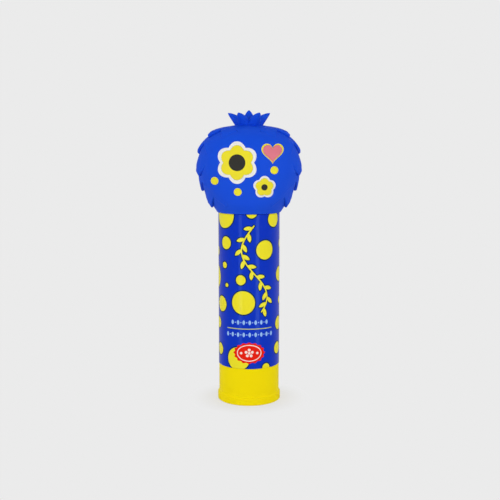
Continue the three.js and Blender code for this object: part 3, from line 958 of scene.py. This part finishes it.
def pom_grid(columns=500, crown_steps=6, swell_steps=20, hem_steps=7, end_steps=8):
    """Rings of the pom-pom from crown to rim. Each row of tufts swells from nothing to its hem,
    bulging across each tuft, with fine strands along it. The hem turns under in a half round that
    rolls out where there are tufts, and the next row starts from there."""
    angle = once_round(columns)
    level = 0 * angle
    row_height = (tuft_end - tuft_start) / tuft_rows
    phase = angle / (2 * np.pi) * tufts_round * strands_per_tuft
    strands = strand_depth * (np.abs(np.sin(np.pi * phase)) - strand_middle)
    crown_downs = np.concatenate([[0], np.linspace(crown_ring, tuft_start, crown_steps)])
    rings = [pom_point(level + down, angle, level) for down in crown_downs]
    before = 0.5 + level
    for row in range(tuft_rows):
        wave = hem_wave(row, angle)
        height = tuft_lift * (valley_share + (1 - valley_share) * np.sin(wave * np.pi / 2))
        for swell in np.linspace(0, 1, swell_steps):
            hang = before + (wave - before) * swell
            down = tuft_start + row_height * (row + swell + tuft_point * (hang - 0.5))
            lift = height * swell**swell_power + strands * swell
            rings.append(pom_point(down + hem_run * (1 - swell), angle, lift))
        hem_down = tuft_start + row_height * (row + 1 + tuft_point * (wave - 0.5))
        roll = hem_roll * tufted_share(*pom_point(hem_down, angle, level).T)
        for turn in np.linspace(0, np.pi, hem_steps)[1:]:
            down = hem_down + hem_run * turn / np.pi + roll * np.sin(turn)
            rings.append(pom_point(down, angle, (height + strands) * (1 + np.cos(turn)) / 2))
        before = wave
    last = hem_down + hem_run
    for share in np.linspace(0, 1, end_steps)[1:]:
        rings.append(pom_point(last + (1 - last) * share, angle, level))
    return np.array(rings)


def lock_points(length, spread, lean, bearing, rows=34, columns=48):
    """A lock of the crest: a flattened spindle, fluted lightly past its first quarter, that runs
    to a point. It leans out from the axis and curls on towards its tip."""
    share = np.concatenate([[0, lock_root / 2], np.linspace(lock_root, 1, rows)])[:, None]
    turn = once_round(columns)
    along = -crest_sink + (length + crest_sink) * share
    above = np.clip(along / length, 0, 1)
    flute = flute_depth * np.abs(np.sin(lock_flutes / 2 * turn)) * np.clip(4 * above, 0, 1)
    width = lock_radius * (1 - above**2) ** lock_taper * np.clip(share / lock_root, 0, 1) ** 0.5
    width = width * (1 - flute)
    thick = lock_flatness * width * np.cos(turn) + lock_curl * lean * length * above**2
    out = thick * math.cos(lean) + along * math.sin(lean) + spread
    up = along * math.cos(lean) - thick * math.sin(lean) + crown
    return swung(out, width * np.sin(turn), up, bearing)


pom_rings = pom_grid()
pom_bore = cap_radius + press_gap
pom_bore_top = cap_high[2] + press_gap
rim_drop = 0.12
rim_edge = 0.16
bore_bevel = 0.15
bore_corner = 1.0
inside_outline = np.array(
    [
        [pom_rim - rim_edge / 4, cap_edge - rim_drop * 2 / 3],
        [pom_rim - rim_edge, cap_edge - rim_drop],
        [pom_bore + bore_bevel, cap_edge - rim_drop],
        [pom_bore, cap_edge + bore_bevel],
        [pom_bore, pom_bore_top - bore_corner],
        [pom_bore - bore_corner, pom_bore_top],
        [0, pom_bore_top],
    ]
)
pom_inside = spin(inside_outline, columns=pom_rings.shape[1])
topper_pom = lay_grid("topper_pom", np.concatenate([pom_rings, pom_inside]))

blue_soft = moulded_material(
    "blue_soft",
    colour=linear(14, 73, 212),
    shade=linear(18, 79, 220),
    roughness=0.55,
    grain=0.22,
    depth=0.006,
    scatter=0.1,
    shine=0.13,
)
crest = [lay_grid("crest_lock_0", lock_points(centre_lock_length, 0, 0, math.pi / 2))]
for number, bearing in enumerate(once_round(crest_locks)):
    lock = lock_points(lock_length, crest_spread, crest_lean, bearing)
    crest.append(lay_grid(f"crest_lock_{number + 1}", lock))
for soft_piece in [topper_pom, *crest]:
    dress(soft_piece, blue_soft)
    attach(soft_piece, "cap")
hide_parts("topper")

# Coloured pours
# A flower, a blossom, a heart and three dots, each colour poured by itself as liquid PVC into its
# own pocket of the mould. They stand a little proud of the pom-pom, with rounded edges, and a
# fine groove parts each colour from the next.

pour_sunk = 0.5
pour_gap = 0.06
pour_edge = 0.32
motif_gap = 1.5
flower_petals = 6
flower_radius = 7.9
flower_rim_width = 1.45
flower_centre_radius = 3.2
flower_place = (-4.4, equator + 2.9)
blossom_petals = 5
blossom_radius = 4.3
blossom_rim_width = 0.85
blossom_centre_radius = 1.3
heart_radius = 4.2
heart_rim_width = 0.6
dot_radius = 1.5
dip_share = 0.2


def front_depth(x, z):
    """How far towards -Y the plain front stands, across and up: the pom-pom's outlines solved
    for y."""
    above = z >= equator
    rise = np.clip((z - equator) / crown_rise, 0, 1)
    fall = np.clip((equator - z) / equator_rise, 0, 1)
    dome = (1 - rise**profile_power) ** (1 / profile_power)
    half_width, half_depth, power = pom_plan(above, np.where(above, dome, 1 - fall**tuck_power))
    depth = half_depth * np.maximum(1 - np.abs(x / half_width) ** power, 0) ** (1 / power)
    return depth + smooth_bulge * (1 - tufted_share(x, -depth, z))


def petals(radius, count, turn):
    """Rounded petals with a sharp dip between each two: the radius grows with the size of a sine
    that passes nothing once for each petal."""
    reach = radius * (1 - dip_share + dip_share * np.abs(np.sin(count * turn / 2)))
    bearing = turn + np.pi / 2 + np.pi / count
    return reach * np.cos(bearing), reach * np.sin(bearing)


def disc(radius, turn):
    """A circle: a cosine across, and a sine up."""
    return radius * np.cos(turn), radius * np.sin(turn)


def heart(radius, turn):
    """The usual heart curve, scaled to a radius and centred: the cube of a sine across, and four
    cosines up. A hundredth of the sine itself keeps its two sides apart at the dip and at the
    point."""
    across = 0.99 * np.sin(turn) ** 3 + 0.01 * np.sin(turn)
    up = 13 * np.cos(turn) - 5 * np.cos(2 * turn) - 2 * np.cos(3 * turn) - np.cos(4 * turn)
    return radius * across, radius * (up + 2.5) / 16


def pour(name, place, outer, inner, proud, columns=240, edge_steps=6, face_steps=12, most=0.45):
    """One poured colour between two outlines, or from its middle out to one. An outline is its
    function and the sizes that the function takes before the turn. The face follows the front of
    the pom-pom at the given height and rounds down at each edge, over at most a share of its
    width, and the back lies inside the pom-pom."""
    turn = once_round(columns)
    outer_x, outer_z = outer[0](*outer[1:], turn)
    inner_x, inner_z = inner[0](*inner[1:], turn) if inner else (0 * outer_x, 0 * outer_z)
    width = np.hypot(outer_x - inner_x, outer_z - inner_z).mean()
    ramp = np.sin(np.linspace(0, np.pi / 2, edge_steps))
    fall = 1 - np.cos(np.linspace(0, np.pi / 2, edge_steps))
    edge_share = min(pour_edge / width, most)
    first = 1 if inner else 0
    face = np.linspace(edge_share * first, 1 - edge_share, face_steps)[first:-1]
    in_shares = edge_share * (1 - ramp[::-1]) if inner else []
    in_heights = 1 - fall[::-1] if inner else []
    out_shares = 1 - edge_share + edge_share * ramp
    shares = np.concatenate([in_shares, face, out_shares, [1.0], [0.0]])
    heights = np.concatenate([in_heights, np.ones(len(face)), 1 - fall]) * (proud + pour_gap)
    heights = np.concatenate([heights - pour_gap, [-pour_sunk, -pour_sunk]])
    x = place[0] + inner_x + (outer_x - inner_x) * shares[:, None]
    z = place[1] + inner_z + (outer_z - inner_z) * shares[:, None]
    y = -(front_depth(x, z) + heights[:, None])
    return lay_grid(name, np.stack([x, y, z], axis=-1), rows_close=bool(inner))


def beside(place, reach, radius, bearing):
    """The middle of a motif of a given radius that stands beside another, along a bearing."""
    distance = reach + motif_gap + radius
    return place[0] + distance * math.cos(bearing), place[1] + distance * math.sin(bearing)


blossom_place = beside(flower_place, flower_radius, blossom_radius, bearing=-0.73)
heart_place = beside(flower_place, flower_radius, heart_radius, bearing=0.24)
dot_left_place = beside(flower_place, flower_radius, dot_radius, bearing=-2.46)
dot_low_place = beside(flower_place, flower_radius, dot_radius, bearing=-1.55)
dot_right_place = beside(blossom_place, blossom_radius, dot_radius, bearing=1.05)

pour_colours = {
    "white_soft": (linear(238, 236, 232), linear(230, 228, 224)),
    "yellow_soft": (linear(238, 225, 48), linear(232, 217, 40)),
    "dark_soft": (linear(56, 55, 50), linear(48, 47, 43)),
    "pink_soft": (linear(226, 128, 142), linear(218, 116, 132)),
}
pour_materials = {
    slot: moulded_material(
        slot, light, dark, roughness=0.5, grain=0.22, depth=0.005, scatter=0.1, shine=0.2
    )
    for slot, (light, dark) in pour_colours.items()
}
flower_outline = (petals, flower_radius, flower_petals)
flower_inset = (petals, flower_radius - flower_rim_width, flower_petals)
flower_eye = (disc, flower_centre_radius)
blossom_outline = (petals, blossom_radius, blossom_petals)
blossom_inset = (petals, blossom_radius - blossom_rim_width, blossom_petals)
blossom_eye = (disc, blossom_centre_radius)
heart_outline = (heart, heart_radius)
heart_inset = (heart, heart_radius - heart_rim_width)
dot_outline = (disc, dot_radius)

# Each pour by the CAD piece that it stands for, its colour, its place, its outer and its inner
# outline, and how proud of the pom-pom it stands
pours = [
    ("flower_rim", "white_soft", flower_place, flower_outline, flower_inset, 0.07),
    ("flower_petals", "yellow_soft", flower_place, flower_inset, flower_eye, 0.12),
    ("flower_centre", "dark_soft", flower_place, flower_eye, None, 0.18),
    ("blossom_rim", "white_soft", blossom_place, blossom_outline, blossom_inset, 0.09),
    ("blossom_petals", "yellow_soft", blossom_place, blossom_inset, blossom_eye, 0.15),
    ("blossom_centre", "dark_soft", blossom_place, blossom_eye, None, 0.2),
    ("heart_rim", "yellow_soft", heart_place, heart_outline, heart_inset, 0.1),
    ("heart_fill", "pink_soft", heart_place, heart_inset, None, 0.2),
    ("dot_left", "yellow_soft", dot_left_place, dot_outline, None, 0.16),
    ("dot_low", "yellow_soft", dot_low_place, dot_outline, None, 0.14),
    ("dot_right", "yellow_soft", dot_right_place, dot_outline, None, 0.16),
]
for node_name, slot, place, outer, inner, proud in pours:
    poured = pour(f"{node_name}_pour", place, outer, inner, proud)
    dress(poured, pour_materials[slot])
    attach(poured, "cap")
    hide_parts(node_name)

# Stage
# A pale floor that runs on into a pale surround, broad soft light from all sides and most from
# the front, two narrow lights that show only as bright strips in the gloss, and the camera in
# front, near, and a little above.

pale_grey = linear(235, 235, 235)
shadow_reach = (0.0124, 0.024)


def room_paleness(tree, direction):
    """How pale the room looks in a reflection, by its direction: dark in front of the object, and
    pale behind it."""
    unit = add_node(tree, "ShaderNodeVectorMath", {0: direction}, operation="NORMALIZE")
    backwards = add_node(tree, "ShaderNodeSeparateXYZ", {0: unit.outputs[0]}).outputs["Y"]
    return ranged(tree, backwards, (-0.5, 0.8), (0.03, 0.45), interpolation_type="SMOOTHSTEP")


def either(tree, share, first, second):
    """The first shader where the share is 0, the second where it is 1, and a mix between."""
    return add_node(tree, "ShaderNodeMixShader", {0: share, 1: first, 2: second}).outputs[0]


def floor_material():
    """A pale floor. The camera sees an even grey far off, and near the object it sees part of the
    floor's own shading, so that a faint shadow lies round the foot. Reflections show the room."""
    material, tree, shader = new_material("pale_floor")
    matt = {"Base Color": linear(230, 230, 230), "Roughness": 0.9, "Specular IOR Level": 0.0}
    set_inputs(tree, shader, matt)
    place = object_place(tree)
    path = add_node(tree, "ShaderNodeLightPath").outputs
    room = add_node(tree, "ShaderNodeEmission", {"Strength": room_paleness(tree, place)})
    even = add_node(tree, "ShaderNodeEmission", {"Color": pale_grey, "Strength": 1.0})
    lit = either(tree, path["Is Glossy Ray"], shader.outputs[0], room.outputs[0])
    distance = add_node(tree, "ShaderNodeVectorMath", {0: place}, operation="LENGTH")
    far_off = distance.outputs["Value"]
    evenness = ranged(tree, far_off, shadow_reach, (0.7, 1.0), interpolation_type="SMOOTHSTEP")
    share = reckoned(tree, "MULTIPLY", path["Is Camera Ray"], evenness)
    seen = either(tree, share, lit, even.outputs[0])
    tree.links.new(seen, tree.nodes["Material Output"].inputs["Surface"])
    return material


floor_half = 3.0
floor_corners = [(-1, -1, 0), (1, -1, 0), (1, 1, 0), (-1, 1, 0)]
floor_mesh = bpy.data.meshes.new("floor")
floor_mesh.from_pydata(np.array(floor_corners) * floor_half, [], [(0, 1, 2, 3)])
floor = add_object("floor", floor_mesh)
dress(floor, floor_material())


def studio_world():
    """The studio round the object: an even soft light, a pale surround where the camera looks,
    and the room in reflections."""
    world = bpy.data.worlds.new("studio")
    world.use_nodes = True
    tree = world.node_tree
    soft = tree.nodes["Background"]
    set_inputs(tree, soft, {"Color": (1, 1, 1, 1), "Strength": 0.35})
    surround = add_node(tree, "ShaderNodeBackground", {"Color": pale_grey, "Strength": 1.0})
    direction = add_node(tree, "ShaderNodeTexCoord").outputs["Generated"]
    room = add_node(tree, "ShaderNodeBackground", {"Strength": room_paleness(tree, direction)})
    path = add_node(tree, "ShaderNodeLightPath").outputs
    lit = either(tree, path["Is Glossy Ray"], soft.outputs[0], room.outputs[0])
    seen = either(tree, path["Is Camera Ray"], lit, surround.outputs[0])
    tree.links.new(seen, tree.nodes["World Output"].inputs["Surface"])
    return world


bpy.context.scene.world = studio_world()


def softbox(name, place, width, height, power, mirrored, tint=(1, 1, 1), aim=(0, 0, 0.06)):
    """An area lamp that faces the middle of the object and that the camera never sees. It either
    shows in reflections alone, as a bright shape, or lights the surfaces softly and doesn't show
    in them."""
    light = bpy.data.lights.new(name, "AREA")
    light.shape = "RECTANGLE"
    light.size = width
    light.size_y = height
    light.energy = power
    light.color = tint
    lamp = add_object(name, light)
    away = np.array(place) - np.array(aim)
    across = math.hypot(away[0], away[1])
    lamp.location = place
    lamp.rotation_euler = (math.atan2(across, away[2]), 0, math.atan2(away[0], -away[1]))
    lamp.visible_camera = False
    lamp.visible_glossy = mirrored
    lamp.visible_diffuse = not mirrored


ring_powers = (1.44, 1.36, 0.75, 1.2, 0.75)
ring_reach = 0.6
ring_height = 0.26
for number, power in enumerate(ring_powers):
    bearing = (number - 0.5) / len(ring_powers) * 2 * math.pi
    place = (ring_reach * math.sin(bearing), -ring_reach * math.cos(bearing), ring_height)
    softbox(f"ring_light_{number + 1}", place, width=0.4, height=0.4, power=power, mirrored=False)
softbox("top_light", (0.0, 0.1, 0.7), width=0.5, height=0.5, power=0.4, mirrored=False)
strip_tint = (0.48, 0.88, 1.0)
strip_aside = 0.057
strip_ahead = 0.096
strip_level = 0.041
strip_height = 0.08
strips = [("right_strip", 1, 0.024, 0.0088), ("left_strip", -1, 0.0225, 0.0066)]
for name, side, width, power in strips:
    place = (side * strip_aside, -strip_ahead, strip_level)
    softbox(name, place, width, strip_height, power, mirrored=True, tint=strip_tint)

camera_distance = 0.3429
camera_tilt = 0.1315
look_height = 0.05951
camera_shift_x = 0.0004
camera_data = bpy.data.cameras.new("camera")
camera_data.sensor_width = 36
camera_data.lens = 62.74
camera_data.clip_start = 0.01
camera = add_object("camera", camera_data)
camera.location = (
    camera_shift_x,
    -camera_distance * math.cos(camera_tilt),
    look_height + camera_distance * math.sin(camera_tilt),
)
camera.rotation_euler = (math.pi / 2 - camera_tilt, 0, 0)
bpy.context.scene.camera = camera
bpy.context.scene.view_settings.view_transform = "Standard"
